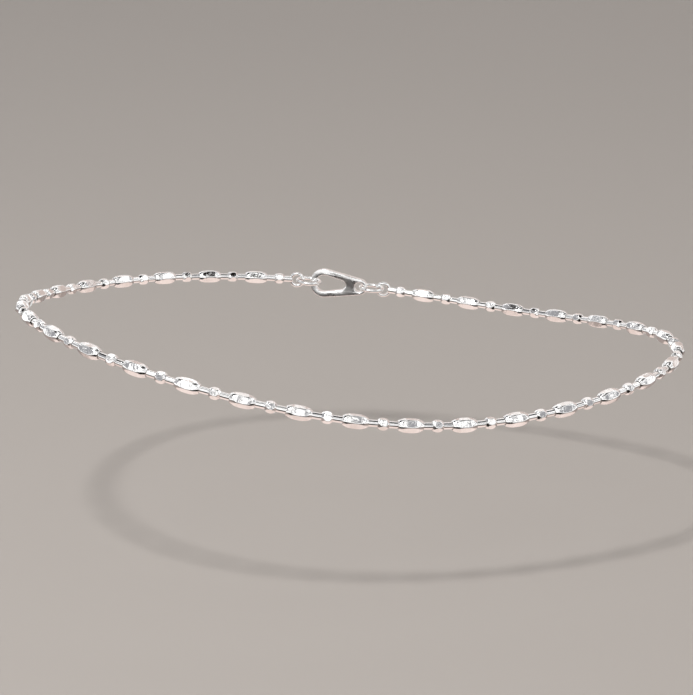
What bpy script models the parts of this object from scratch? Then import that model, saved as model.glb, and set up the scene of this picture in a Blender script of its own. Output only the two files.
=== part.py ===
"""A worn silver chain anklet: oval and round beads on a string of short pins, closed by a plain hook clasp.

The loop keeps the draped form that it has round an ankle, with its middle at the origin, +Z up the leg and the
clasp at the back (+Y). Its size follows the chain: the route is scaled until it is as long as the beads, pins,
rings and clasp that lie along it.
"""

import math
from collections import namedtuple

import bmesh
import bpy
import numpy as np
from mathutils import Matrix, Vector

# Beads and pins, in metres
OVAL_BEADS = 32
OVAL_LENGTH = 0.00345
OVAL_DIAMETER = 0.0020
OVAL_SHOULDER_DIAMETER = 0.00174
OVAL_SHOULDER_SHARE = 0.68
OVAL_BELLY_SHARE = 0.3
OVAL_END_LIP = 0.00007
ROUND_DIAMETER = 0.00167
ROUND_LENGTH = 0.0015
ROUND_END_DIAMETER = 0.00112
ROUND_MIDDLE_DIAMETER = 0.00152
PIN_DIAMETER = 0.00094
NECK_LENGTH = 0.00123
END_NECK_LENGTH = 0.001105
BORE_CLEARANCE = 0.00014
PIVOT_DEPTH = 0.00012

# Rings and clasp, in metres
EYE_RADIUS = 0.00095
EYE_WIRE = 0.00054
RING_RADIUS = 0.0017
RING_WIRE = 0.0006
LINK_PLAY = 0.00022
CLASP_LENGTH = 0.0090
CLASP_WIDTH = 0.0045
CLASP_THICKNESS = 0.0011
CLASP_EDGE = 0.0002
CLASP_TAB_WALL = 0.0005
CLASP_EYE_RADIUS = 0.00075
CLASP_HOOK_WALL = 0.0009
CLASP_SLOT_LENGTH = 0.0047
CLASP_SLOT_NARROW = 0.0008

# The worn route: its plan is an oval with three faint corners, and its height is the sum of a few waves.
# Shares are of the loop's half width, angles are counted from the wearer's side at +X, and the front is at 270.
ROUTE_DEPTH_SHARE = 0.733
ROUTE_CORNER_SHARE = 0.05
ROUTE_CORNER_DEG = -4.0
CLASP_DEG = 89.2
Wave = namedtuple("Wave", "crests share crest_deg")
DRAPE = (
    Wave(crests=1, share=0.089, crest_deg=190.0),
    Wave(crests=2, share=0.043, crest_deg=17.0),
    Wave(crests=3, share=0.024, crest_deg=104.0),
)

# Mesh fineness
ROUTE_STEPS = 1440
OVAL_SIDES = 12
STRING_SIDES = 10
WIRE_SIDES = 6
RING_STEPS = 18
ARC_STEPS = 9

# Lengths that follow from the sizes above
PIN_RADIUS = PIN_DIAMETER / 2
BORE_RADIUS = PIN_RADIUS + BORE_CLEARANCE
PITCH = OVAL_LENGTH + ROUND_LENGTH + 2 * NECK_LENGTH
CHAIN_LENGTH = OVAL_BEADS * PITCH
BEAD_TO_EYE = ROUND_LENGTH / 2 + END_NECK_LENGTH + EYE_RADIUS
EYE_TO_RING = EYE_RADIUS + RING_RADIUS - (EYE_WIRE + RING_WIRE) / 2 - LINK_PLAY
RING_HOLE = RING_RADIUS - RING_WIRE / 2
RING_TO_TAB_END = RING_HOLE - LINK_PLAY - CLASP_TAB_WALL
RING_TO_HOOK_END = RING_HOLE - LINK_PLAY - CLASP_HOOK_WALL
RING_TO_RING = RING_TO_TAB_END + CLASP_LENGTH + RING_TO_HOOK_END
CLASP_STRETCH = 2 * (BEAD_TO_EYE + EYE_TO_RING) + RING_TO_RING
LOOP_LENGTH = CHAIN_LENGTH + CLASP_STRETCH


class Route:
    """The closed line that the beads follow, measured by the length along it from the first round bead."""

    def __init__(self):
        """Samples the worn shape once round from the clasp, and scales it to the length of the chain."""
        turn = np.linspace(0.0, 2 * math.pi, ROUTE_STEPS + 1) + math.radians(CLASP_DEG)
        reach = 1 + ROUTE_CORNER_SHARE * np.cos(3 * (turn - math.radians(ROUTE_CORNER_DEG)))
        height = sum(
            wave.share * np.cos(wave.crests * (turn - math.radians(wave.crest_deg))) for wave in DRAPE
        )
        points = np.stack([reach * np.cos(turn), ROUTE_DEPTH_SHARE * reach * np.sin(turn), height], axis=1)
        steps = np.linalg.norm(np.diff(points, axis=0), axis=1)
        scale = LOOP_LENGTH / steps.sum()
        self.points = points * scale
        self.lengths = np.concatenate([[0.0], np.cumsum(steps)]) * scale

    def point(self, along):
        """Where the route is at a length counted from the first round bead."""
        at = (along + CLASP_STRETCH / 2) % LOOP_LENGTH
        return Vector([np.interp(at, self.lengths, self.points[:, axis]) for axis in range(3)])

    def direction(self, along, reach=NECK_LENGTH):
        """The way the route runs there, as the chord between two points reach before and after."""
        return (self.point(along + reach) - self.point(along - reach)).normalized()


def upright_frame(place, direction):
    """A matrix with local X along direction, local Z as near upright as it can be, and its origin at place."""
    side = Vector((0, 0, 1)).cross(direction).normalized()
    up = direction.cross(side)
    return Matrix.Translation(place) @ Matrix((direction, side, up)).transposed().to_4x4()


def silver(name, colour, roughness):
    """A polished silver with the colour and roughness of one kind of piece."""
    material = bpy.data.materials.new(name)
    material.use_nodes = True
    shader = material.node_tree.nodes["Principled BSDF"]
    shader.inputs["Base Color"].default_value = (*colour, 1.0)
    shader.inputs["Metallic"].default_value = 1.0
    shader.inputs["Roughness"].default_value = roughness
    material.diffuse_color = (*colour, 1.0)
    return material


def mesh_from(bm, name, material, smooth_below_deg=32.0):
    """Closes a bmesh into a named mesh, with its faces outwards and its round surfaces smooth."""
    bmesh.ops.recalc_face_normals(bm, faces=bm.faces)
    mesh = bpy.data.meshes.new(name)
    bm.to_mesh(mesh)
    bm.free()
    mesh.shade_smooth()
    mesh.set_sharp_from_angle(angle=math.radians(smooth_below_deg))
    mesh.materials.append(material)
    return mesh


def add_object(name, data, parent, frame=None):
    """Puts an object of the data into the scene under parent, at frame."""
    obj = bpy.data.objects.new(name, data)
    bpy.context.scene.collection.objects.link(obj)
    obj.parent = parent
    if frame is not None:
        obj.matrix_local = frame
    return obj


def spun(profile, axis, steps):
    """A bmesh made by turning a closed profile of points once round an axis through the origin."""
    bm = bmesh.new()
    corners = [bm.verts.new(point) for point in profile]
    edges = [bm.edges.new((corners[i - 1], corners[i])) for i in range(len(corners))]
    bmesh.ops.spin(
        bm, geom=corners + edges, cent=(0, 0, 0), axis=axis, dvec=(0, 0, 0),
        angle=2 * math.pi, steps=steps, use_merge=True, use_duplicate=False,
    )
    return bm


def oval_bead_mesh(material):
    """An oval bead along X, bored through for its pin: a barrel with blunt ends."""
    half = OVAL_LENGTH / 2
    shoulder, belly = OVAL_SHOULDER_SHARE * half, OVAL_BELLY_SHARE * half
    outer = [
        (-half, BORE_RADIUS + OVAL_END_LIP),
        (-shoulder, OVAL_SHOULDER_DIAMETER / 2),
        (-belly, OVAL_DIAMETER / 2),
        (belly, OVAL_DIAMETER / 2),
        (shoulder, OVAL_SHOULDER_DIAMETER / 2),
        (half, BORE_RADIUS + OVAL_END_LIP),
    ]
    profile = [(x, 0, r) for x, r in outer + [(half, BORE_RADIUS), (-half, BORE_RADIUS)]]
    return mesh_from(spun(profile, (1, 0, 0), OVAL_SIDES), "oval_bead", material, smooth_below_deg=12.0)


def wire_ring_mesh(name, radius, wire, material):
    """A closed ring of round wire in the local XZ plane, with its hole along Y."""
    section = [
        (radius + wire / 2 * math.cos(turn), wire / 2 * math.sin(turn), 0)
        for turn in (2 * math.pi * i / WIRE_SIDES for i in range(WIRE_SIDES))
    ]
    return mesh_from(spun(section, (0, 1, 0), RING_STEPS), name, material, smooth_below_deg=75.0)


def round_bead_profile():
    """Offsets along the string and radii from the pin before a round bead to the pin after it."""
    half = ROUND_LENGTH / 2
    rise = [
        (-half, PIN_RADIUS),
        (-half, ROUND_END_DIAMETER / 2),
        (-half * 0.6, ROUND_MIDDLE_DIAMETER / 2),
        (0.0, ROUND_DIAMETER / 2),
    ]
    return rise + [(-offset, radius) for offset, radius in reversed(rise[:-1])]


def string_stations(route, eyes):
    """The rings of the string in order, as (frame, radius), from one end eye to the other."""
    profile = round_bead_profile()
    pivot = OVAL_LENGTH / 2 - PIVOT_DEPTH
    first = route.point(0.0)
    stations = [(upright_frame(eyes[0], (first - eyes[0]).normalized()), PIN_RADIUS)]
    for bead in range(OVAL_BEADS + 1):
        along = bead * PITCH
        frame = upright_frame(route.point(along), route.direction(along))
        stations += [(frame @ Matrix.Translation((offset, 0, 0)), radius) for offset, radius in profile]
        if bead < OVAL_BEADS:
            frame = oval_frame(route, bead)
            stations += [(frame @ Matrix.Translation((x, 0, 0)), PIN_RADIUS) for x in (-pivot, pivot)]
    last = route.point(CHAIN_LENGTH)
    stations.append((upright_frame(eyes[1], (eyes[1] - last).normalized()), PIN_RADIUS))
    return stations


def oval_frame(route, bead):
    """Where the oval bead of this number lies, halfway between two round beads."""
    along = (bead + 0.5) * PITCH
    return upright_frame(route.point(along), route.direction(along, OVAL_LENGTH / 2))


def string_mesh(stations, material):
    """One closed skin of pins and round beads, swept from ring to ring."""
    bm = bmesh.new()
    turned = Matrix.Rotation(math.pi / 2, 4, "Y")
    placed = [frame @ turned @ Matrix.Scale(radius, 4) for frame, radius in stations]
    ring = bmesh.ops.create_circle(bm, cap_ends=True, segments=STRING_SIDES, radius=1.0, matrix=placed[0])
    edges = list({edge for vert in ring["verts"] for edge in vert.link_edges})
    for before, after in zip(placed, placed[1:]):
        grown = bmesh.ops.extrude_edge_only(bm, edges=edges)["geom"]
        verts = [item for item in grown if isinstance(item, bmesh.types.BMVert)]
        edges = [item for item in grown if isinstance(item, bmesh.types.BMEdge)]
        bmesh.ops.transform(bm, matrix=after @ before.inverted(), verts=verts)
    bmesh.ops.holes_fill(bm, edges=edges)
    return mesh_from(bm, "bead_string", material)


def teardrop(narrow_at, narrow_radius, wide_at, wide_radius):
    """The outline round two circles on the X axis, the wide one at larger X: two arcs joined by tangents."""
    lean = math.acos((narrow_radius - wide_radius) / (wide_at - narrow_at))
    points = []
    for centre, radius, start, sweep in (
        (wide_at, wide_radius, -lean, 2 * lean),
        (narrow_at, narrow_radius, lean, 2 * (math.pi - lean)),
    ):
        for step in range(ARC_STEPS + 1):
            turn = start + sweep * step / ARC_STEPS
            points.append((centre + radius * math.cos(turn), radius * math.sin(turn)))
    return points


def clasp_curve(material):
    """A plain hook clasp in the local XY plane: a teardrop plate with a slot for a ring and an eye, edges rounded."""
    tab_radius = CLASP_EYE_RADIUS + CLASP_TAB_WALL
    tab_at = tab_radius - CLASP_LENGTH / 2
    hook_at = CLASP_LENGTH / 2 - CLASP_WIDTH / 2
    slot_radius = CLASP_WIDTH / 2 - CLASP_HOOK_WALL
    slot_narrow_at = hook_at + slot_radius + CLASP_SLOT_NARROW - CLASP_SLOT_LENGTH
    eye = [
        (tab_at + CLASP_EYE_RADIUS * math.cos(turn), CLASP_EYE_RADIUS * math.sin(turn))
        for turn in (2 * math.pi * i / STRING_SIDES for i in range(STRING_SIDES))
    ]
    curve = bpy.data.curves.new("clasp", "CURVE")
    curve.dimensions = "2D"
    curve.fill_mode = "BOTH"
    curve.extrude = CLASP_THICKNESS / 2 - CLASP_EDGE
    curve.bevel_depth = CLASP_EDGE
    curve.bevel_resolution = 0
    curve.offset = -CLASP_EDGE
    for outline in (
        teardrop(tab_at, tab_radius, hook_at, CLASP_WIDTH / 2),
        teardrop(slot_narrow_at, CLASP_SLOT_NARROW, hook_at, slot_radius),
        eye,
    ):
        spline = curve.splines.new("POLY")
        spline.points.add(len(outline) - 1)
        for point, (x, y) in zip(spline.points, outline):
            point.co = (x, y, 0, 1)
        spline.use_cyclic_u = True
    curve.materials.append(material)
    return curve


def fuse(obj, helper):
    """Joins a helper solid to an object, and keeps the helper out of the model itself."""
    helper.hide_render = True
    helper.display_type = "WIRE"
    union = obj.modifiers.new("joined_" + helper.name, "BOOLEAN")
    union.operation = "UNION"
    union.solver = "EXACT"
    union.object = helper


def build():
    """Makes the whole anklet under one empty."""
    for obj in list(bpy.data.objects):
        bpy.data.objects.remove(obj)
    anklet = bpy.data.objects.new("anklet", None)
    bpy.context.scene.collection.objects.link(anklet)

    bead_silver = silver("bead_silver", (0.88, 0.88, 0.87), 0.10)
    string_silver = silver("string_silver", (0.84, 0.84, 0.83), 0.13)
    ring_silver = silver("ring_silver", (0.82, 0.82, 0.81), 0.16)
    clasp_silver = silver("clasp_silver", (0.83, 0.83, 0.82), 0.15)
    route = Route()

    oval_mesh = oval_bead_mesh(bead_silver)
    for bead in range(OVAL_BEADS):
        add_object(f"oval_bead_{bead + 1:02d}", oval_mesh, anklet, oval_frame(route, bead))

    # The clasp, its rings and the end eyes lie on one straight line between the chain's two ends.
    chain_end = route.point(CHAIN_LENGTH + BEAD_TO_EYE)
    chain_start = route.point(-BEAD_TO_EYE)
    line = upright_frame((chain_end + chain_start) / 2, (chain_start - chain_end).normalized())
    upright = line @ Matrix.Rotation(math.pi / 2, 4, "X")
    clasp_at = (RING_TO_HOOK_END - RING_TO_TAB_END) / 2
    add_object("clasp", clasp_curve(clasp_silver), anklet, upright @ Matrix.Translation((-clasp_at, 0, 0)))
    ring_mesh = wire_ring_mesh("jump_ring", RING_RADIUS, RING_WIRE, ring_silver)
    for number, side in ((1, 1), (2, -1)):
        place = Matrix.Translation((side * RING_TO_RING / 2, 0, 0))
        add_object(f"jump_ring_{number}", ring_mesh, anklet, upright @ place)

    eye_reach = RING_TO_RING / 2 + EYE_TO_RING
    eyes = [line @ Matrix.Translation((side * eye_reach, 0, 0)) for side in (1, -1)]
    in_wire = EYE_RADIUS - EYE_WIRE / 4
    pin_ends = [frame @ Vector((side * in_wire, 0, 0)) for frame, side in zip(eyes, (1, -1))]
    string = add_object("bead_string", string_mesh(string_stations(route, pin_ends), string_silver), anklet)
    eye_mesh = wire_ring_mesh("end_eye", EYE_RADIUS, EYE_WIRE, string_silver)
    for number, frame in enumerate(eyes, start=1):
        fuse(string, add_object(f"end_eye_{number}", eye_mesh, anklet, frame))


build()
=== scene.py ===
"""A silver anklet of diamond-cut oval and round beads, dressed in detail over its solid model.

Lengths of the pieces are in millimetres, and each mesh is scaled to metres when it becomes a piece.
Lengths of the finishes and the studio are in metres. The loop keeps its worn form: the middle is at
the origin, +Z runs up and the hook clasp is at the back, at +Y.
"""

import logging
import math
import random
from dataclasses import dataclass, field
from enum import Enum
from typing import Any, Iterable, Sequence

import bmesh
import bpy
import numpy as np
from bmesh.types import BMesh
from mathutils import Matrix, Vector


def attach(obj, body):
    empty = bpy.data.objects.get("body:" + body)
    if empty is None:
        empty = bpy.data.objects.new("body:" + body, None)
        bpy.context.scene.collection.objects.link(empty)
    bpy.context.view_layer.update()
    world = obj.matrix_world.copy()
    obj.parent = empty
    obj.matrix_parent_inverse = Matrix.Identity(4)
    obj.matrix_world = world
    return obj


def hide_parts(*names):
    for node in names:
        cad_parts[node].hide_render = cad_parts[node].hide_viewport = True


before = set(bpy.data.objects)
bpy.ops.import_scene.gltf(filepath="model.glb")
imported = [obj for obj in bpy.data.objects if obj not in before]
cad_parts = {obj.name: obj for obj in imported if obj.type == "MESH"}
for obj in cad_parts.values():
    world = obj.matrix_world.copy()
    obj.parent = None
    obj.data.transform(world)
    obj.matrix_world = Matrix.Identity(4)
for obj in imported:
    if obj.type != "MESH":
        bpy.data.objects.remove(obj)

LOG = logging.getLogger("anklet")
METRES = 0.001
BODY = "root"
Colour = tuple[float, float, float]
# Where something starts to show and where it shows fully
Span = tuple[float, float]

# In millimetres: how near a corner counts as on a cut, how near two points count as one, and the margin in
# telling whether a face lies inside a bore
CUT_TOLERANCE = 1e-5
CLOSE = 1e-4
BORE_MARGIN = 1e-3
# The value above which a face counts as marked, and the shape of a round bevel
MARKED = 0.5
ROUND_BEVEL = 0.5
# Edges where the faces turn by this much or more stay sharp
BEAD_CREASE_DEG = 50.0
WIRE_CREASE_DEG = 60.0


class Slot(Enum):
    """Names of material slots."""

    BEAD = "bead_silver"
    STRING = "string_silver"
    RING = "ring_silver"
    CLASP = "clasp_silver"


class Mark(Enum):
    """Names of the face attributes that tell a finish how a surface was made."""

    CUT = "cut"
    RECESS = "recess"


class Signal:
    """One output of a shader node, whose arithmetic adds Math nodes to its graph."""

    def __init__(self, graph: "Graph", socket: bpy.types.NodeSocket) -> None:
        """Wraps a socket of a graph."""
        self.graph = graph
        self.socket = socket

    def maths(self, operation: str, first: "Value", second: "Value") -> "Signal":
        """Adds a Math node.

        Args:
            operation: Blender's name of the operation.
            first: the first number or signal.
            second: the second number or signal.

        Returns:
            The node's result.
        """
        return self.graph.add("ShaderNodeMath", {"operation": operation}, {0: first, 1: second})

    def __add__(self, other: "Value") -> "Signal":
        """Sum."""
        return self.maths("ADD", self, other)

    def __radd__(self, other: "Value") -> "Signal":
        """Sum with a plain number first."""
        return self.maths("ADD", other, self)

    def __sub__(self, other: "Value") -> "Signal":
        """Difference."""
        return self.maths("SUBTRACT", self, other)

    def __rsub__(self, other: "Value") -> "Signal":
        """Difference from a plain number."""
        return self.maths("SUBTRACT", other, self)

    def __mul__(self, other: "Value") -> "Signal":
        """Product."""
        return self.maths("MULTIPLY", self, other)

    def above(self, low: float, high: float) -> "Signal":
        """Smoothly goes from 0 at low to 1 at high, which may be the smaller of the two.

        Args:
            low: where it leaves 0.
            high: where it reaches 1.

        Returns:
            The signal between 0 and 1.
        """
        settings = {"interpolation_type": "SMOOTHSTEP"}
        return self.graph.add("ShaderNodeMapRange", settings, {0: self, 1: low, 2: high, 3: 0.0, 4: 1.0})


Value = Signal | float


@dataclass(frozen=True)
class Pattern:
    """A noise pattern: its cells to a unit of the coordinates, its finer layers and its distortion."""

    scale: float
    detail: float = 2.0
    twist: float = 0.0


class Graph:
    """The node tree of one material or world."""

    def __init__(self, owner: bpy.types.Material | bpy.types.World) -> None:
        """Starts an empty tree.

        Args:
            owner: what the tree belongs to.
        """
        owner.use_nodes = True
        self.tree = owner.node_tree
        self.tree.nodes.clear()

    def add(
        self, kind: str, settings: dict[str, Any], inputs: dict[int | str, Any], output: int | str = 0
    ) -> Signal:
        """Adds one node.

        Args:
            kind: the node's type.
            settings: its properties, set before its sockets. "stops" gives a ramp's places and colours.
            inputs: a value or a signal for each socket, by name or number.
            output: which output the signal takes.

        Returns:
            The chosen output.
        """
        node = self.tree.nodes.new(kind)
        for name, value in settings.items():
            if name == "stops":
                self._set_stops(node.color_ramp, value)
            else:
                setattr(node, name, value)
        for name, value in inputs.items():
            if isinstance(value, Signal):
                self.tree.links.new(value.socket, node.inputs[name])
            else:
                node.inputs[name].default_value = value
        return Signal(self, node.outputs[output])

    @staticmethod
    def _set_stops(ramp: bpy.types.ColorRamp, stops: Sequence[tuple[float, Colour]]) -> None:
        """Gives a ramp its stops.

        Args:
            ramp: the ramp, which starts with two stops.
            stops: place and colour of each, in order.
        """
        while len(ramp.elements) < len(stops):
            ramp.elements.new(1.0)
        for element, (place, colour) in zip(ramp.elements, stops):
            element.position = place
            element.color = (*colour, 1.0)

    def end_in(self, kind: str, shader: Signal) -> None:
        """Adds the output node of this type, and shows the shader through it."""
        node = self.tree.nodes.new(kind)
        self.tree.links.new(shader.socket, node.inputs["Surface"])

    def blend(self, share: Value, first: Signal | Colour, second: Signal | Colour) -> Signal:
        """Mixes two colours.

        Args:
            share: how much of the second colour shows.
            first: the first colour.
            second: the second colour.

        Returns:
            The mixed colour.
        """
        ends = [end if isinstance(end, Signal) else (*end, 1.0) for end in (first, second)]
        settings = {"data_type": "RGBA", "clamp_factor": True}
        return self.add("ShaderNodeMix", settings, {0: share, 6: ends[0], 7: ends[1]}, 2)

    def noise(self, place: Signal, pattern: Pattern) -> Signal:
        """Adds a noise pattern.

        Args:
            place: the coordinates that it reads.
            pattern: its scale and detail.

        Returns:
            The pattern's value, near 0.5 on average.
        """
        inputs = {"Scale": pattern.scale, "Detail": pattern.detail, "Distortion": pattern.twist}
        return self.add("ShaderNodeTexNoise", {}, {"Vector": place, **inputs})

    def stretched(self, place: Signal, scale: Sequence[float], turn: Sequence[float]) -> Signal:
        """Turns coordinates and stretches them along one axis.

        Args:
            place: the coordinates.
            scale: the factor along each axis.
            turn: the turn about each axis, in degrees.

        Returns:
            The new coordinates.
        """
        radians = [math.radians(angle) for angle in turn]
        turned = self.add("ShaderNodeMapping", {}, {"Vector": place, "Rotation": radians})
        return self.add("ShaderNodeVectorMath", {"operation": "MULTIPLY"}, {0: turned, 1: scale})


@dataclass(frozen=True)
class Scratches:
    """Hairlines in one direction: a pattern, its stretch along each axis, its turn and a line's edge."""

    pattern: Pattern
    stretch: tuple[float, float, float]
    turn_deg: tuple[float, float, float]
    edge: Span


@dataclass(frozen=True)
class SilverFinish:
    """Sterling silver, tumbled bright, with diamond-cut flats, hairline scratches, and tarnish with painted
    shade in its bores.

    Patterns are laid on object coordinates, so that no two beads are alike. A tint is how much of a duller
    colour a pattern brings in.
    """

    name: str
    bright: Colour = (0.955, 0.948, 0.94)
    veiled: Colour = (0.86, 0.845, 0.82)
    # Tarnish and painted shade: the dark colour laid into the bores and the dimples round the pins
    tarnish_and_shade: Colour = (0.30, 0.28, 0.255)
    land_roughness: float = 0.11
    cut_roughness: float = 0.05
    recess_roughness: float = 0.4
    recess_tint: float = 0.9
    veil: Pattern = Pattern(420.0, 3.0, 0.6)
    veil_edge: Span = (0.46, 0.74)
    veil_tint: float = 0.55
    veil_roughness: float = 0.05
    specks: Pattern = Pattern(5200.0)
    specks_edge: Span = (0.66, 0.74)
    specks_tint: float = 0.35
    specks_roughness: float = 0.09
    swell: Pattern = Pattern(480.0, 0.0)
    swell_depth: float = 0.00013
    ripple: Pattern = Pattern(2000.0, 1.0, 0.3)
    ripple_depth: float = 0.00002
    grain: Pattern = Pattern(26000.0)
    grain_depth: float = 0.0000006
    along: Scratches = Scratches(Pattern(11000.0, 1.0), (0.06, 1.0, 1.0), (20.0, 35.0, 25.0), (0.63, 0.69))
    across: Scratches = Scratches(Pattern(9000.0, 1.0), (1.0, 0.07, 1.0), (-30.0, 15.0, 50.0), (0.65, 0.71))
    scratch_roughness: float = 0.08
    scratch_depth: float = 0.0000012

    def material(self) -> bpy.types.Material:
        """Builds the finish's node tree.

        Returns:
            The material.
        """
        material = bpy.data.materials.new(self.name)
        graph = Graph(material)
        place = graph.add("ShaderNodeTexCoord", {}, {}, "Object")
        cut = graph.add("ShaderNodeAttribute", {"attribute_name": Mark.CUT.value}, {}, "Fac")
        recess = graph.add("ShaderNodeAttribute", {"attribute_name": Mark.RECESS.value}, {}, "Fac")
        veil = graph.noise(place, self.veil).above(*self.veil_edge)
        specks = graph.noise(place, self.specks).above(*self.specks_edge)
        swell = graph.noise(place, self.swell)
        ripple = graph.noise(place, self.ripple)
        grain = graph.noise(place, self.grain)
        hairlines = self._hairlines(graph, place, self.along) + self._hairlines(graph, place, self.across)

        worn = veil * self.veil_tint + specks * self.specks_tint
        colour = graph.blend(worn, self.bright, self.veiled)
        # Painted shade and tarnish: the bores and the dimples where the pins go in are darkened
        colour = graph.blend(recess * self.recess_tint, colour, self.tarnish_and_shade)
        polish = self.land_roughness + cut * (self.cut_roughness - self.land_roughness)
        dulled = polish + veil * self.veil_roughness + specks * self.specks_roughness
        roughness = dulled + hairlines * self.scratch_roughness + recess * self.recess_roughness
        waves = swell * self.swell_depth + ripple * self.ripple_depth
        height = waves - hairlines * self.scratch_depth + grain * self.grain_depth
        normal = graph.add("ShaderNodeBump", {}, {"Strength": 1.0, "Distance": 1.0, "Height": height})
        shader = graph.add(
            "ShaderNodeBsdfPrincipled", {},
            {"Base Color": colour, "Metallic": 1.0, "Roughness": roughness, "Normal": normal},
        )
        graph.end_in("ShaderNodeOutputMaterial", shader)
        return material

    @staticmethod
    def _hairlines(graph: Graph, place: Signal, lines: Scratches) -> Signal:
        """Fine scratches in one direction.

        Args:
            graph: the tree to build in.
            place: the coordinates.
            lines: the scratches.

        Returns:
            1 in a scratch, and 0 beside it.
        """
        drawn_out = graph.stretched(place, lines.stretch, lines.turn_deg)
        return graph.noise(drawn_out, lines.pattern).above(*lines.edge)


@dataclass(frozen=True)
class Wave:
    """One wave of the route's height: crests in a round, share of the half width and where it crests."""

    crests: int
    share: float
    crest_deg: float


@dataclass(frozen=True)
class ChainSizes:
    """The sizes that the whole chain shares, in millimetres."""

    oval_beads: int = 32
    oval_length: float = 3.45
    oval_diameter: float = 2.0
    oval_lip_diameter: float = 1.22
    oval_curve: float = 2.8
    round_diameter: float = 1.67
    round_length: float = 1.5
    round_end_diameter: float = 1.12
    pin_diameter: float = 0.94
    neck_length: float = 1.23
    end_neck_length: float = 1.105
    mouth_clearance: float = 0.05
    pivot_depth: float = 0.12
    eye_radius: float = 0.95
    eye_wire: float = 0.54
    ring_radius: float = 1.7
    ring_wire: float = 0.6
    link_play: float = 0.22
    clasp_length: float = 9.0
    clasp_tab_wall: float = 0.5
    clasp_hook_wall: float = 0.9

    @property
    def pitch(self) -> float:
        """From one round bead to the next."""
        return self.oval_length + self.round_length + 2 * self.neck_length

    @property
    def chain_length(self) -> float:
        """From the first round bead to the last."""
        return self.oval_beads * self.pitch

    @property
    def bead_to_eye(self) -> float:
        """From an end bead's middle to its eye's middle."""
        return self.round_length / 2 + self.end_neck_length + self.eye_radius

    @property
    def eye_to_ring(self) -> float:
        """From an end eye's middle to its jump ring's."""
        return self.eye_radius + self.ring_radius - (self.eye_wire + self.ring_wire) / 2 - self.link_play

    @property
    def ring_to_tab_end(self) -> float:
        """From the first jump ring's middle to the end of the clasp's tab."""
        return self.ring_radius - self.ring_wire / 2 - self.link_play - self.clasp_tab_wall

    @property
    def ring_to_hook_end(self) -> float:
        """From the second jump ring's middle to the end of the clasp's hook."""
        return self.ring_radius - self.ring_wire / 2 - self.link_play - self.clasp_hook_wall

    @property
    def ring_to_ring(self) -> float:
        """From one jump ring's middle to the other's."""
        return self.ring_to_tab_end + self.clasp_length + self.ring_to_hook_end

    @property
    def clasp_stretch(self) -> float:
        """From the last round bead past the clasp to the first."""
        return 2 * (self.bead_to_eye + self.eye_to_ring) + self.ring_to_ring

    @property
    def loop_length(self) -> float:
        """Once round the loop."""
        return self.chain_length + self.clasp_stretch


@dataclass
class Route:
    """The closed line that the beads follow, measured by the length along it from the first round bead.

    Its plan is an oval with three faint corners, and its height is the sum of a few waves. Shares are of the
    loop's half width, and angles are counted from +X.
    """

    sizes: ChainSizes
    depth_share: float = 0.733
    corner_share: float = 0.05
    corner_deg: float = -4.0
    clasp_deg: float = 89.2
    drape: tuple[Wave, ...] = (Wave(1, 0.089, 190.0), Wave(2, 0.043, 17.0), Wave(3, 0.024, 104.0))
    steps: int = 1440
    points: np.ndarray = field(init=False)
    lengths: np.ndarray = field(init=False)

    def __post_init__(self) -> None:
        """Samples the worn shape once round from the clasp, and scales it to the length of the chain."""
        turn = np.linspace(0.0, 2 * math.pi, self.steps + 1) + math.radians(self.clasp_deg)
        reach = 1 + self.corner_share * np.cos(3 * (turn - math.radians(self.corner_deg)))
        height = sum(w.share * np.cos(w.crests * (turn - math.radians(w.crest_deg))) for w in self.drape)
        points = np.stack([reach * np.cos(turn), self.depth_share * reach * np.sin(turn), height], axis=1)
        steps = np.linalg.norm(np.diff(points, axis=0), axis=1)
        scale = self.sizes.loop_length / steps.sum()
        self.points = points * scale
        self.lengths = np.concatenate([[0.0], np.cumsum(steps)]) * scale

    def point(self, along: float) -> Vector:
        """Where the route is at a length counted from the first round bead."""
        at = (along + self.sizes.clasp_stretch / 2) % self.sizes.loop_length
        return Vector([np.interp(at, self.lengths, self.points[:, axis]) for axis in range(3)])

    def direction(self, along: float, reach: float) -> Vector:
        """The way the route runs there, as the chord between two points reach before and after."""
        return (self.point(along + reach) - self.point(along - reach)).normalized()

    def round_frame(self, bead: int) -> Matrix:
        """Where the round bead of this number lies."""
        along = bead * self.sizes.pitch
        return upright_frame(self.point(along), self.direction(along, self.sizes.neck_length))

    def oval_frame(self, bead: int) -> Matrix:
        """Where the oval bead of this number lies, halfway between two round beads."""
        along = (bead + 0.5) * self.sizes.pitch
        return upright_frame(self.point(along), self.direction(along, self.sizes.oval_length / 2))

    def clasp_line(self) -> Matrix:
        """The middle of the straight stretch that holds the clasp.

        Returns:
            Its frame, with X towards the chain's first bead.
        """
        end = self.point(self.sizes.chain_length + self.sizes.bead_to_eye)
        start = self.point(-self.sizes.bead_to_eye)
        return upright_frame((end + start) / 2, (start - end).normalized())


def upright_frame(place: Vector, direction: Vector) -> Matrix:
    """A frame at a place, with X along a direction and Z as near upright as it can be.

    Args:
        place: the frame's origin.
        direction: a unit vector.

    Returns:
        The frame's matrix.
    """
    side = Vector((0, 0, 1)).cross(direction).normalized()
    up = direction.cross(side)
    return Matrix.Translation(place) @ Matrix((direction, side, up)).transposed().to_4x4()


def marked(bm: BMesh, mark: Mark) -> Any:
    """The face layer of a mark, made when it isn't there yet."""
    return bm.faces.layers.float.get(mark.value) or bm.faces.layers.float.new(mark.value)


def marked_mesh() -> BMesh:
    """Starts a working mesh that has a layer for each mark.

    Returns:
        The empty mesh.
    """
    bm = bmesh.new()
    for mark in Mark:
        marked(bm, mark)
    return bm


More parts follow.
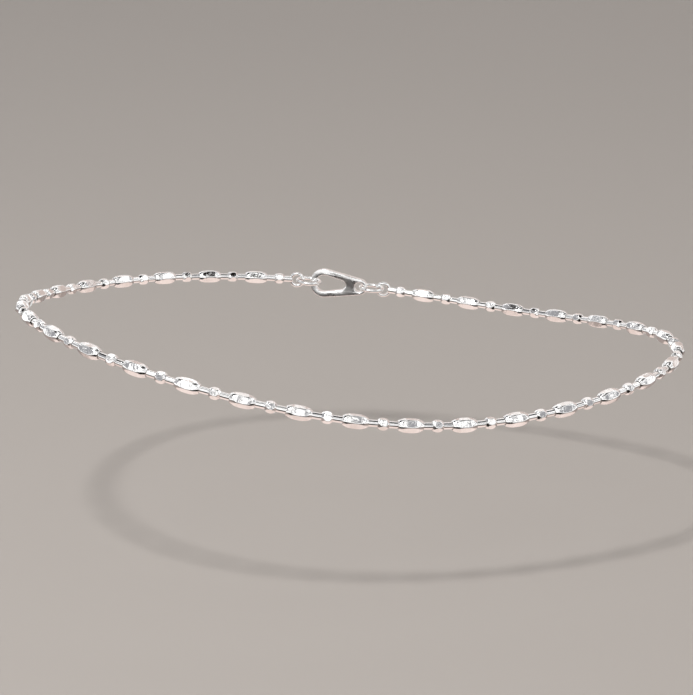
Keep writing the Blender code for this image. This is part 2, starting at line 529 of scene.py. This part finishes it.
def lathe(profile: Sequence[tuple[float, float]], segments: int) -> BMesh:
    """Turns a closed profile once round the X axis.

    Args:
        profile: corners as (place along X, radius).
        segments: how many steps the turn has.

    Returns:
        A closed mesh with its faces outwards.
    """
    bm = marked_mesh()
    corners = [bm.verts.new((x, 0.0, radius)) for x, radius in profile]
    edges = [bm.edges.new((corners[i - 1], corners[i])) for i in range(len(corners))]
    bmesh.ops.spin(
        bm, geom=corners + edges, cent=(0, 0, 0), axis=(1, 0, 0), dvec=(0, 0, 0),
        angle=2 * math.pi, steps=segments, use_merge=True, use_duplicate=False,
    )
    bmesh.ops.recalc_face_normals(bm, faces=bm.faces)
    return bm


@dataclass(frozen=True)
class CutRow:
    """Equal flats round a bead: how many, their lean to its end, their turn and how far out they are."""

    count: int
    lean_deg: float
    turn_deg: float
    from_middle: float

    def cut(self, bm: BMesh) -> None:
        """Cuts the row into a bead that lies along X, and marks the flats.

        Args:
            bm: the bead's mesh.
        """
        layer = marked(bm, Mark.CUT)
        lean = math.radians(self.lean_deg)
        for flat in range(self.count):
            turn = math.radians(self.turn_deg) + 2 * math.pi * flat / self.count
            across = math.cos(lean)
            normal = Vector((math.sin(lean), across * math.cos(turn), across * math.sin(turn)))
            found = bmesh.ops.bisect_plane(
                bm, geom=bm.verts[:] + bm.edges[:] + bm.faces[:], dist=CUT_TOLERANCE,
                plane_co=normal * self.from_middle, plane_no=normal, clear_outer=True,
            )["geom_cut"]
            rim = [item for item in found if isinstance(item, bmesh.types.BMEdge)]
            for face in bmesh.ops.holes_fill(bm, edges=rim, sides=0)["faces"]:
                face[layer] = 1.0


def soften_flats(bm: BMesh, width: float) -> None:
    """Gives each cut flat a narrow border, so that smooth shading rounds its rim and leaves its middle flat.

    Args:
        bm: the cut mesh.
        width: of the border.
    """
    layer = marked(bm, Mark.CUT)
    flats = [face for face in bm.faces if face[layer] > MARKED]
    bmesh.ops.inset_individual(bm, faces=flats, thickness=width, depth=0.0, use_even_offset=True)


def crease(bm: BMesh, above_deg: float) -> None:
    """Makes a mesh smooth but for its sharp corners.

    Args:
        bm: the mesh.
        above_deg: the angle between two faces from which their edge is sharp.
    """
    for face in bm.faces:
        face.smooth = True
    for edge in bm.edges:
        edge.smooth = edge.calc_face_angle(0.0) < math.radians(above_deg)


def add_copy(bm: BMesh, template: bpy.types.Mesh, place: Matrix) -> None:
    """Adds a copy of a mesh to another.

    Args:
        bm: the mesh that grows.
        template: what is copied.
        place: where the copy lies.
    """
    before = len(bm.verts)
    bm.from_mesh(template)
    bm.verts.ensure_lookup_table()
    bmesh.ops.transform(bm, matrix=place, verts=bm.verts[before:])


def as_template(bm: BMesh, name: str) -> bpy.types.Mesh:
    """Turns a working mesh into one that add_copy takes.

    Args:
        bm: the mesh, which is freed.
        name: the new mesh's name.

    Returns:
        The new mesh.
    """
    mesh = bpy.data.meshes.new(name)
    bm.to_mesh(mesh)
    bm.free()
    return mesh


def barrel(
    length: float, diameter: float, end_diameter: float, curve: float, steps: int
) -> list[tuple[float, float]]:
    """The outline of a bulging bead.

    Args:
        length: of the bead.
        diameter: at its middle.
        end_diameter: at its ends.
        curve: the power by which it narrows towards its ends.
        steps: from its middle to an end.

    Returns:
        Corners as (place along X, radius).
    """
    half, belly = length / 2, diameter / 2
    drop = belly - end_diameter / 2
    shares = [i / steps for i in range(-steps, steps + 1)]
    return [(half * share, belly - drop * abs(share) ** curve) for share in shares]


def cut_bead(
    bm: BMesh, recess_radius: float, rows: Sequence[CutRow], rounding: float, name: str
) -> bpy.types.Mesh:
    """Finishes a turned bead: marks its bore as a recess, which the finish darkens with tarnish and painted
    shade, and cuts its flats.

    Args:
        bm: the turned bead, which is freed.
        recess_radius: how far from the axis the recess reaches.
        rows: the rows of flats.
        rounding: the width of the soft border of a flat.
        name: the template's name.

    Returns:
        The bead's template.
    """
    recess = marked(bm, Mark.RECESS)
    for face in bm.faces:
        middle = face.calc_center_median()
        if math.hypot(middle.y, middle.z) < recess_radius:
            face[recess] = 1.0
    for row in rows:
        row.cut(bm)
    soften_flats(bm, rounding)
    crease(bm, BEAD_CREASE_DEG)
    return as_template(bm, name)


def turned_outwards(
    place: Matrix, draw: random.Random, spread_deg: float, lift_deg: float = 23.0
) -> Matrix:
    """Turns a frame on the route about X, so that its +Y axis points to the loop's outside.

    Args:
        place: the frame.
        draw: where chance comes from.
        spread_deg: how much the turn varies.
        lift_deg: how far above level the axis points.

    Returns:
        The turned frame.
    """
    side = place.to_3x3() @ Vector((0, 1, 0))
    lift = math.radians(lift_deg)
    outward = lift if side.dot(-place.translation) < 0 else math.pi - lift
    roll = outward + math.radians(draw.gauss(0.0, spread_deg))
    return place @ Matrix.Rotation(roll, 4, "X")


def add_object(name: str, data: bpy.types.ID) -> bpy.types.Object:
    """Puts a new object into the scene.

    Args:
        name: the object's name.
        data: its mesh, lamp or camera.

    Returns:
        The object.
    """
    added = bpy.data.objects.new(name, data)
    bpy.context.scene.collection.objects.link(added)
    return added


def make_piece(bm: BMesh, name: str, material: bpy.types.Material, nodes: Iterable[str]) -> None:
    """Turns a mesh in millimetres into a finished piece of the anklet.

    Args:
        bm: the mesh, which is freed.
        name: the piece's name.
        material: its finish.
        nodes: the solids that it stands for.
    """
    bmesh.ops.scale(bm, vec=(METRES,) * 3, verts=bm.verts)
    mesh = bpy.data.meshes.new(name)
    bm.to_mesh(mesh)
    bm.free()
    mesh.materials.append(material)
    piece = add_object(name, mesh)
    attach(piece, BODY)
    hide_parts(*nodes)
    triangles = sum(len(face.vertices) - 2 for face in mesh.polygons)
    LOG.info("%s: %d triangles", name, triangles)


@dataclass
class OvalBeads:
    """The drilled oval beads: barrels with six long facets, each a flat and two that lean outwards."""

    sizes: ChainSizes
    route: Route
    rows: tuple[CutRow, ...] = (
        CutRow(6, 0.0, 0.0, 0.892),
        CutRow(6, 6.0, 0.0, 0.96),
        CutRow(6, -6.0, 0.0, 0.96),
    )
    rounding: float = 0.06
    segments: int = 48
    profile_steps: int = 9
    rim_round: float = 0.05
    rim_steps: int = 3
    mouth_round: float = 0.035
    mouth_steps: int = 2
    roll_spread_deg: float = 4.0
    seed: int = 7

    def template(self) -> bpy.types.Mesh:
        """One bead along X, with a flat that faces +Y.

        Returns:
            The bead's mesh.
        """
        sizes = self.sizes
        half, lip = sizes.oval_length / 2, sizes.oval_lip_diameter / 2
        bore = sizes.pin_diameter / 2 + sizes.mouth_clearance
        outer = barrel(
            sizes.oval_length, sizes.oval_diameter, sizes.oval_lip_diameter, sizes.oval_curve,
            self.profile_steps,
        )
        bm = lathe(outer + [(half, bore), (-half, bore)], self.segments)
        rims = ((lip, self.rim_round, self.rim_steps), (bore, self.mouth_round, self.mouth_steps))
        for radius, width, steps in rims:
            rim = [
                edge for edge in bm.edges
                if all(
                    abs(abs(v.co.x) - half) < CLOSE and abs(math.hypot(v.co.y, v.co.z) - radius) < CLOSE
                    for v in edge.verts
                )
            ]
            bmesh.ops.bevel(
                bm, geom=rim, offset=width, offset_type="OFFSET", affect="EDGES", segments=steps,
                profile=ROUND_BEVEL, material=-1,
            )
        return cut_bead(bm, bore + BORE_MARGIN, self.rows, self.rounding, "oval_template")

    def build(self, material: bpy.types.Material) -> None:
        """Places one cut bead for each oval bead, with a flat turned outwards.

        Args:
            material: the beads' finish.
        """
        template = self.template()
        draw = random.Random(self.seed)
        for bead in range(self.sizes.oval_beads):
            place = turned_outwards(self.route.oval_frame(bead), draw, self.roll_spread_deg)
            bm = bmesh.new()
            add_copy(bm, template, place)
            number = f"{bead + 1:02d}"
            make_piece(bm, f"cut_oval_{number}", material, [f"oval_bead_{number}"])
        bpy.data.meshes.remove(template)


@dataclass
class BeadString:
    """What runs through the oval beads: polished pins, cut round beads on them and an eye at each end."""

    sizes: ChainSizes
    route: Route
    rows: tuple[CutRow, ...] = (
        CutRow(6, 0.0, 0.0, 0.735),
        CutRow(6, 38.0, 30.0, 0.865),
        CutRow(6, -38.0, 30.0, 0.865),
    )
    rounding: float = 0.035
    segments: int = 40
    profile_steps: int = 7
    curve: float = 2.4
    dimple_width: float = 0.03
    dimple_depth: float = 0.06
    dimple_overlap: float = 0.02
    pin_sides: int = 24
    pin_crease_deg: float = 40.0
    wire_sides: int = 14
    eye_steps: int = 40
    roll_spread_deg: float = 5.0
    seed: int = 11

    def round_template(self) -> bpy.types.Mesh:
        """One cut round bead along X, with a small dimple where the pin comes out.

        Returns:
            The bead's mesh.
        """
        sizes = self.sizes
        half, pin = sizes.round_length / 2, sizes.pin_diameter / 2
        outer = barrel(
            sizes.round_length, sizes.round_diameter, sizes.round_end_diameter, self.curve,
            self.profile_steps,
        )
        mouth, floor, core = pin + self.dimple_width, half - self.dimple_depth, pin - self.dimple_overlap
        bm = lathe(outer + [(half, mouth), (floor, core), (-floor, core), (-half, mouth)], self.segments)
        return cut_bead(bm, mouth - BORE_MARGIN, self.rows, self.rounding, "round_template")

    def build(self, bead_finish: bpy.types.Material, pin_finish: bpy.types.Material) -> None:
        """Makes the round beads, the pins and the end eyes.

        Args:
            bead_finish: the finish of the round beads.
            pin_finish: the finish of the pins and eyes.
        """
        draw = random.Random(self.seed)
        template = self.round_template()
        beads = bmesh.new()
        for bead in range(self.sizes.oval_beads + 1):
            place = turned_outwards(self.route.round_frame(bead), draw, self.roll_spread_deg)
            add_copy(beads, template, place)
        bpy.data.meshes.remove(template)
        make_piece(beads, "cut_round_beads", bead_finish, ["bead_string"])
        make_piece(self.pins(), "neck_pins", pin_finish, ["bead_string"])
        ring = as_template(
            wire_ring(self.sizes.eye_radius, self.sizes.eye_wire, self.wire_sides, self.eye_steps), "eye")
        eyes = bmesh.new()
        for eye in self.eye_frames():
            add_copy(eyes, ring, eye)
        bpy.data.meshes.remove(ring)
        make_piece(eyes, "end_eyes", pin_finish, ["bead_string"])

    def eye_frames(self) -> list[Matrix]:
        """Where the eyes lie.

        Returns:
            The frames of the eye by the chain's first bead, and of the eye by its last.
        """
        line = self.route.clasp_line()
        reach = self.sizes.ring_to_ring / 2 + self.sizes.eye_to_ring
        return [line @ Matrix.Translation((side * reach, 0, 0)) for side in (1, -1)]

    def pins(self) -> BMesh:
        """The pins from bead to bead, each through the bore of its oval bead, and the two end pins.

        Returns:
            The pins' mesh.
        """
        bm = marked_mesh()
        pivot = self.sizes.oval_length / 2 - self.sizes.pivot_depth
        for bead in range(self.sizes.oval_beads):
            oval = self.route.oval_frame(bead)
            before, after = self.route.round_frame(bead), self.route.round_frame(bead + 1)
            places = [before.translation, oval @ Vector((-pivot, 0, 0)), oval @ Vector((pivot, 0, 0)),
                      after.translation]
            self._sweep(bm, places)
        near_wire = self.sizes.eye_radius - self.sizes.eye_wire / 4
        ends = (self.route.round_frame(0), self.route.round_frame(self.sizes.oval_beads))
        for eye, side, end in zip(self.eye_frames(), (1, -1), ends):
            self._sweep(bm, [end.translation, eye @ Vector((side * near_wire, 0, 0))])
        crease(bm, self.pin_crease_deg)
        return bm

    def _sweep(self, bm: BMesh, places: Sequence[Vector]) -> None:
        """Adds a pin with closed ends.

        Args:
            bm: the mesh that it is added to.
            places: the points that the pin's middle runs through.
        """
        directions = [(after - before).normalized() for before, after in zip(places, places[1:])]
        turns = [directions[0]] + [
            (one + other).normalized() for one, other in zip(directions, directions[1:])
        ] + [directions[-1]]
        turned = Matrix.Rotation(math.pi / 2, 4, "Y") @ Matrix.Scale(self.sizes.pin_diameter / 2, 4)
        placed = [upright_frame(place, turn) @ turned for place, turn in zip(places, turns)]
        ring = bmesh.ops.create_circle(
            bm, cap_ends=True, segments=self.pin_sides, radius=1.0, matrix=placed[0])
        edges = list({edge for vert in ring["verts"] for edge in vert.link_edges})
        faces = list({face for edge in edges for face in edge.link_faces})
        for before, after in zip(placed, placed[1:]):
            grown = bmesh.ops.extrude_edge_only(bm, edges=edges)["geom"]
            verts = [item for item in grown if isinstance(item, bmesh.types.BMVert)]
            edges = [item for item in grown if isinstance(item, bmesh.types.BMEdge)]
            faces += [item for item in grown if isinstance(item, bmesh.types.BMFace)]
            bmesh.ops.transform(bm, matrix=after @ before.inverted(), verts=verts)
        faces += bmesh.ops.holes_fill(bm, edges=edges)["faces"]
        bmesh.ops.recalc_face_normals(bm, faces=faces)


def wire_ring(radius: float, wire: float, sides: int, steps: int) -> BMesh:
    """A closed ring of round wire, with its hole along Y.

    Args:
        radius: of the wire's middle.
        wire: the wire's diameter.
        sides: round the wire.
        steps: round the ring.

    Returns:
        The ring's mesh.
    """
    bm = marked_mesh()
    section = bmesh.ops.create_circle(
        bm, cap_ends=False, segments=sides, radius=wire / 2, matrix=Matrix.Translation((radius, 0, 0)))
    edges = list({edge for vert in section["verts"] for edge in vert.link_edges})
    bmesh.ops.spin(
        bm, geom=section["verts"] + edges, cent=(0, 0, 0), axis=(0, 1, 0), dvec=(0, 0, 0),
        angle=2 * math.pi, steps=steps, use_merge=True, use_duplicate=False,
    )
    bmesh.ops.recalc_face_normals(bm, faces=bm.faces)
    crease(bm, WIRE_CREASE_DEG)
    return bm


@dataclass
class HookClasp:
    """The plain hook clasp in one piece, and a jump ring at each end of it."""

    sizes: ChainSizes
    route: Route
    width: float = 4.5
    thickness: float = 1.1
    edge: float = 0.2
    eye_radius: float = 0.75
    slot_length: float = 4.7
    slot_narrow: float = 0.8
    arc_steps: int = 28
    edge_steps: int = 3
    crease_deg: float = 14.0
    drawn_ring_wire: float = 0.59
    wire_sides: int = 16
    ring_steps: int = 56

    def build(self, clasp_finish: bpy.types.Material, ring_finish: bpy.types.Material) -> None:
        """Makes the clasp and its two jump rings.

        Args:
            clasp_finish: the clasp's finish.
            ring_finish: the rings' finish.
        """
        upright = self.route.clasp_line() @ Matrix.Rotation(math.pi / 2, 4, "X")
        off_middle = (self.sizes.ring_to_hook_end - self.sizes.ring_to_tab_end) / 2
        plate = self.plate()
        clasp = marked_mesh()
        add_copy(clasp, plate, upright @ Matrix.Translation((-off_middle, 0, 0)))
        bmesh.ops.remove_doubles(clasp, verts=clasp.verts, dist=CLOSE)
        bmesh.ops.recalc_face_normals(clasp, faces=clasp.faces)
        crease(clasp, self.crease_deg)
        make_piece(clasp, "polished_clasp", clasp_finish, ["clasp"])
        bpy.data.meshes.remove(plate)
        for number, side in ((1, 1), (2, -1)):
            ring = wire_ring(self.sizes.ring_radius, self.drawn_ring_wire, self.wire_sides, self.ring_steps)
            place = upright @ Matrix.Translation((side * self.sizes.ring_to_ring / 2, 0, 0))
            bmesh.ops.transform(ring, matrix=place, verts=ring.verts)
            make_piece(ring, f"polished_ring_{number}", ring_finish, [f"jump_ring_{number}"])

    def teardrop(self, narrow_at: float, narrow: float, wide_at: float, wide: float) -> list[Vector]:
        """The outline round two circles on the X axis, joined by tangents.

        Args:
            narrow_at: the small circle's place.
            narrow: its radius.
            wide_at: the large circle's place, at larger X.
            wide: its radius.

        Returns:
            The outline's points.
        """
        lean = math.acos((narrow - wide) / (wide_at - narrow_at))
        points = []
        for centre, radius, start, sweep in (
            (wide_at, wide, -lean, 2 * lean),
            (narrow_at, narrow, lean, 2 * (math.pi - lean)),
        ):
            for step in range(self.arc_steps + 1):
                turn = start + sweep * step / self.arc_steps
                points.append(Vector((centre + radius * math.cos(turn), radius * math.sin(turn))))
        return points

    def plate(self) -> bpy.types.Mesh:
        """The clasp in its own XY plane: a teardrop plate with a slot and an eye, its edges rounded.

        Returns:
            The plate's mesh.
        """
        length = self.sizes.clasp_length
        tab = self.eye_radius + self.sizes.clasp_tab_wall
        tab_at, hook_at = tab - length / 2, length / 2 - self.width / 2
        slot = self.width / 2 - self.sizes.clasp_hook_wall
        narrow_at = hook_at + slot + self.slot_narrow - self.slot_length
        eye = [
            Vector((tab_at + self.eye_radius * math.cos(turn), self.eye_radius * math.sin(turn)))
            for turn in (2 * math.pi * i / self.arc_steps for i in range(self.arc_steps))
        ]
        curve = bpy.data.curves.new("plate", "CURVE")
        curve.dimensions = "2D"
        curve.fill_mode = "BOTH"
        curve.extrude = self.thickness / 2 - self.edge
        curve.bevel_depth = self.edge
        curve.bevel_resolution = self.edge_steps
        curve.offset = -self.edge
        outlines = (
            self.teardrop(tab_at, tab, hook_at, self.width / 2),
            self.teardrop(narrow_at, self.slot_narrow, hook_at, slot),
            eye,
        )
        for outline in outlines:
            spline = curve.splines.new("POLY")
            spline.points.add(len(outline) - 1)
            for point, place in zip(spline.points, outline):
                point.co = (place.x, place.y, 0, 1)
            spline.use_cyclic_u = True
        holder = bpy.data.objects.new("plate", curve)
        mesh = bpy.data.meshes.new_from_object(holder)
        bpy.data.objects.remove(holder)
        bpy.data.curves.remove(curve)
        return mesh


@dataclass
class Studio:
    """A plain pale floor under the held-up loop, soft light all round, one lamp and the camera.

    The light's tones follow the height, depth and side of a direction, each from -1 to 1. A foot is a lower
    edge, and a least is the smallest share of an uneven tone.
    """

    picture_px: tuple[int, int] = (693, 695)
    middle_px: tuple[float, float] = (336.3, 334.1)
    focal_px: float = 2312.0
    sensor_mm: float = 36.0
    clip: tuple[float, float] = (0.01, 20.0)
    distance: float = 0.330
    elevation_deg: float = 16.0
    floor_drop: float = 0.028
    floor_radius: float = 4.0
    floor_sides: int = 96
    floor_roughness: float = 0.85
    floor_clouds: Pattern = Pattern(6.0, 3.0)
    floor_shade: float = 0.97
    floor_colour: Colour = (0.40, 0.365, 0.335)
    backdrop: Colour = (0.42, 0.385, 0.355)
    ground: Colour = (0.60, 0.49, 0.45)
    glow: Colour = (0.72, 0.61, 0.57)
    gap: Colour = (0.012, 0.010, 0.009)
    dusk: Colour = (0.36, 0.31, 0.29)
    white: Colour = (1.0, 1.0, 1.0)
    cloud: Colour = (0.13, 0.13, 0.145)
    wall: Colour = (0.46, 0.38, 0.35)
    clouds: Pattern = Pattern(5.0, 4.5)
    cloud_gather: float = 0.17
    cloud_lean: float = 0.03
    cloud_edge: Span = (0.49, 0.42)
    cloud_foot: Span = (0.1, 0.2)
    cloud_share: float = 0.85
    back_edge: Span = (0.3, 0.45)
    middle_edge: Span = (0.06, 0.03)
    low_white_foot: Span = (-0.52, -0.38)
    wall_top: Span = (0.72, 0.62)
    wall_foot: Span = (-0.08, 0.02)
    wall_side: Span = (-0.25, -0.10)
    wall_least: float = 0.35
    mottle: Pattern = Pattern(7.0, 1.0)
    mottle_edge: Span = (0.35, 0.55)
    front_edge: Span = (-0.50, -0.76)
    strip_foot: Span = (-0.70, -0.60)
    strip_top: Span = (-0.05, -0.15)
    strip_least: float = 0.45
    ring_waves: Pattern = Pattern(11.0, 1.0)
    ring_waver: float = 0.05
    ring_edge: Span = (0.825, 0.850)
    ring_middle: Span = (0.958, 0.968)
    unseen_gain: float = 0.35
    lamp_watts: float = 1.6
    lamp_size: float = 0.07
    lamp_place: tuple[float, float, float] = (-0.16, -0.22, 0.46)

    def build(self) -> None:
        """Makes the floor, world, lamp and camera."""
        self.make_floor()
        self.make_world()
        self.make_lamp()
        self.make_camera()

    def make_floor(self) -> None:
        """A wide round floor below the loop, faintly clouded."""
        bm = bmesh.new()
        bmesh.ops.create_circle(bm, cap_ends=True, segments=self.floor_sides, radius=self.floor_radius)
        mesh = bpy.data.meshes.new("floor")
        bmesh.ops.translate(bm, vec=(0, 0, -self.floor_drop), verts=bm.verts)
        bm.to_mesh(mesh)
        bm.free()
        material = bpy.data.materials.new("pale_floor")
        graph = Graph(material)
        place = graph.add("ShaderNodeTexCoord", {}, {}, "Object")
        dark = tuple(self.floor_shade * channel for channel in self.floor_colour)
        colour = graph.blend(graph.noise(place, self.floor_clouds), dark, self.floor_colour)
        look = {"Base Color": colour, "Roughness": self.floor_roughness}
        shader = graph.add("ShaderNodeBsdfPrincipled", {}, look)
        graph.end_in("ShaderNodeOutputMaterial", shader)
        mesh.materials.append(material)
        floor = add_object("floor", mesh)
        floor.visible_glossy = False

    def make_world(self) -> None:
        """An even backdrop for the camera itself, and the room's stronger light for everything else."""
        world = bpy.data.worlds.new("studio")
        bpy.context.scene.world = world
        graph = Graph(world)
        tones = self.room_tones(graph)
        seen = graph.add("ShaderNodeLightPath", {}, {}, "Is Camera Ray")
        colour = graph.blend(seen, tones, self.backdrop)
        strength = 1.0 + (1.0 - seen) * self.unseen_gain
        light = graph.add("ShaderNodeBackground", {}, {"Color": colour, "Strength": strength})
        graph.end_in("ShaderNodeOutputWorld", light)

    def room_tones(self, graph: Graph) -> Signal:
        """The room's tones, by direction.

        Pale warm light comes from below. A dark strip runs below the horizon and is darkest in front. Above
        the horizon it is white, with grey clouds that gather at the sides, and with a dark ring overhead
        round a light middle. The back has a warm wall, and white low down in its middle.

        Args:
            graph: the world's graph.

        Returns:
            The colour of the light.
        """
        way = graph.add("ShaderNodeTexCoord", {}, {}, "Generated")
        side, depth, height = (graph.add("ShaderNodeSeparateXYZ", {}, {0: way}, axis) for axis in "XYZ")
        bands = (
            (-90.0, self.ground), (-66.0, self.glow), (-44.0, self.ground), (-16.0, self.dusk),
            (-2.0, self.white), (90.0, self.white),
        )
        stops = [((math.sin(math.radians(angle_deg)) + 1) / 2, colour) for angle_deg, colour in bands]
        tones = graph.add("ShaderNodeValToRGB", {"stops": stops}, {"Fac": (height + 1.0) * 0.5})

        gathering = side * (side * self.cloud_gather - self.cloud_lean)
        clouds = (graph.noise(way, self.clouds) - gathering).above(*self.cloud_edge)
        tones = graph.blend(clouds * height.above(*self.cloud_foot) * self.cloud_share, tones, self.cloud)

        back = depth.above(*self.back_edge)
        middle = (side * side).above(*self.middle_edge)
        tones = graph.blend(back * middle * height.above(*self.low_white_foot), tones, self.white)
        wall = back * height.above(*self.wall_top) * height.above(*self.wall_foot)
        mottle = graph.noise(way, self.mottle).above(*self.mottle_edge)
        patches = self.wall_least + mottle * (1.0 - self.wall_least)
        tones = graph.blend(wall * side.above(*self.wall_side) * patches, tones, self.wall)

        front = depth.above(*self.front_edge)
        strip = height.above(*self.strip_foot) * height.above(*self.strip_top)
        depths = self.strip_least + front * (1.0 - self.strip_least)
        tones = graph.blend(strip * depths, tones, self.gap)

        overhead = height + (graph.noise(way, self.ring_waves) - 0.5) * self.ring_waver
        ring = overhead.above(*self.ring_edge) * (1.0 - overhead.above(*self.ring_middle))
        return graph.blend(ring, tones, self.gap)

    def make_lamp(self) -> None:
        """One soft square lamp above, in front and to the left, aimed at the loop."""
        lamp = bpy.data.lights.new("key", "AREA")
        lamp.energy = self.lamp_watts
        lamp.size = self.lamp_size
        holder = add_object("key", lamp)
        holder.location = self.lamp_place
        holder.rotation_euler = (-Vector(self.lamp_place)).to_track_quat("-Z", "Y").to_euler()

    def make_camera(self) -> None:
        """The camera at the picture's angle, with a small shift for its framing."""
        camera = bpy.data.cameras.new("camera")
        long_px = max(self.picture_px)
        camera.sensor_width = self.sensor_mm
        camera.lens = self.focal_px / long_px * self.sensor_mm
        camera.shift_x = (self.picture_px[0] / 2 - self.middle_px[0]) / long_px
        camera.shift_y = (self.middle_px[1] - self.picture_px[1] / 2) / long_px
        camera.clip_start, camera.clip_end = self.clip
        holder = add_object("camera", camera)
        lift = math.radians(self.elevation_deg)
        holder.location = (0.0, -self.distance * math.cos(lift), self.distance * math.sin(lift))
        holder.rotation_euler = (math.pi / 2 - lift, 0.0, 0.0)
        bpy.context.scene.camera = holder
        bpy.context.scene.view_settings.view_transform = "Standard"


def main() -> None:
    """Builds the anklet's pieces over the solid model, then the studio."""
    logging.basicConfig(level=logging.INFO, format="%(name)s: %(message)s")
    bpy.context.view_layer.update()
    sizes = ChainSizes()
    route = Route(sizes)
    bead_silver = SilverFinish("bright_cut_silver").material()
    pin_silver = SilverFinish(
        "polished_pin_silver", land_roughness=0.03, swell_depth=0.0, ripple_depth=0.000004).material()
    ring_silver = SilverFinish("ring_silver_wire", land_roughness=0.12).material()
    clasp_silver = SilverFinish(
        "clasp_silver_plate", land_roughness=0.27, swell_depth=0.00022, scratch_depth=0.0000007).material()
    OvalBeads(sizes, route).build(bead_silver)
    BeadString(sizes, route).build(bead_silver, pin_silver)
    HookClasp(sizes, route).build(clasp_silver, ring_silver)
    Studio().build()


if __name__ == "__main__":
    main()
